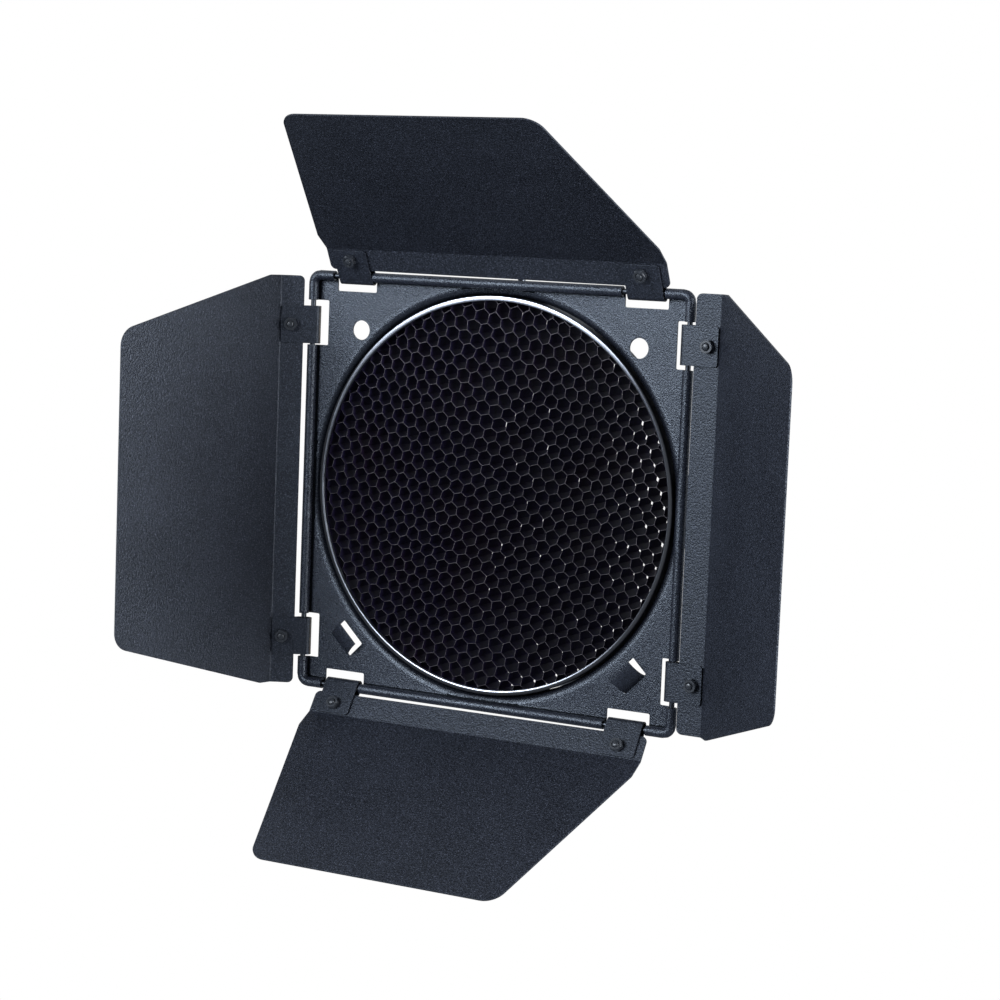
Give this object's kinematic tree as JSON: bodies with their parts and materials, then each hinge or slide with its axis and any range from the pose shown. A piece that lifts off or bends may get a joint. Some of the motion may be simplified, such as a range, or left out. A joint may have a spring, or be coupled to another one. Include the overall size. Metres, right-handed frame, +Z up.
{
  "type": "barn door set with honeycomb grid",
  "caption": "Folding light-shaping leaves hinged on the wire edge of a square sheet-metal frame, with a round honeycomb grid and a rear collar that clamps on a studio flash reflector.",
  "frame": {"origin": "centre of the round opening, on the front face of the honeycomb grid, which is 4.6 mm behind the hinge wire", "axes": "+X right and +Z up seen from the front; the light leaves towards -Y; the reflector enters from +Y"},
  "size_m": [0.303, 0.1305, 0.32],
  "materials": {
    "frame_coat": "fine matt black powder coat",
    "leaf_coat": "fine matt black powder coat",
    "clip_coat": "matt black coat, cut edges worn",
    "spring_steel": "drawn steel, plated",
    "black_steel": "black oxide steel",
    "band": "satin, rolled bead polished by handling",
    "foil": "black anodised foil",
    "zinc": "zinc plated",
    "knob_plastic": "fine texture"
  },
  "bodies": {
    "frame": {"frame_plate": "frame_coat", "hinge_wire": "black_steel", "grid_stop_ring": "spring_steel", "lock_nut": "black_steel"},
    "grid": {"grid_ring": "band", "honeycomb_core": "foil"},
    "top_door": {"top_leaf": "leaf_coat", "top_clip_a": "clip_coat", "top_clip_b": "clip_coat", "top_screw_a": "black_steel", "top_screw_b": "black_steel", "top_nut_a": "black_steel", "top_nut_b": "black_steel"},
    "bottom_door": {"bottom_leaf": "leaf_coat", "bottom_clip_a": "clip_coat", "bottom_clip_b": "clip_coat", "bottom_screw_a": "black_steel", "bottom_screw_b": "black_steel", "bottom_nut_a": "black_steel", "bottom_nut_b": "black_steel"},
    "left_door": {"left_leaf": "leaf_coat", "left_clip_a": "clip_coat", "left_clip_b": "clip_coat", "left_screw_a": "black_steel", "left_screw_b": "black_steel", "left_nut_a": "black_steel", "left_nut_b": "black_steel"},
    "right_door": {"right_leaf": "leaf_coat", "right_clip_a": "clip_coat", "right_clip_b": "clip_coat", "right_screw_a": "black_steel", "right_screw_b": "black_steel", "right_nut_a": "black_steel", "right_nut_b": "black_steel"},
    "lock_foot": {"lock_pad": "spring_steel"},
    "lock_thumbscrew": {"lock_screw": "zinc", "lock_knob": "knob_plastic"}
  },
  "joints": [
    {"name": "top_door_hinge", "type": "hinge", "parent": "frame", "child": "top_door", "pos_m": [0, -0.0046, 0.0952], "axis": [1, 0, 0], "range_deg": [-67.7, 95.6]},
    {"name": "bottom_door_hinge", "type": "hinge", "parent": "frame", "child": "bottom_door", "pos_m": [0, -0.0046, -0.0952], "axis": [-1, 0, 0], "range_deg": [-73.7, 89.5]},
    {"name": "left_door_hinge", "type": "hinge", "parent": "frame", "child": "left_door", "pos_m": [-0.0952, -0.0046, 0], "axis": [0, 0, 1], "range_deg": [-87.4, 34.4]},
    {"name": "right_door_hinge", "type": "hinge", "parent": "frame", "child": "right_door", "pos_m": [0.0952, -0.0046, 0], "axis": [0, 0, -1], "range_deg": [-61, 60.8]},
    {"name": "grid_turn", "type": "hinge", "parent": "frame", "child": "grid", "pos_m": [0, 0, 0], "axis": [0, -1, 0], "continuous": true},
    {"name": "lock_foot_slide", "type": "slide", "parent": "frame", "child": "lock_foot", "axis": [0, 0, -1], "range_m": [0, 0.005]},
    {"name": "lock_screw_turn", "type": "hinge", "parent": "lock_foot", "child": "lock_thumbscrew", "pos_m": [0, 0.0204, 0.1], "axis": [0, 0, -1], "range_deg": [0, 2571.5]}
  ],
  "couplings": [
    {"joint": "lock_screw_turn", "follows": "lock_foot_slide", "rad_per_m": 8976}
  ]
}
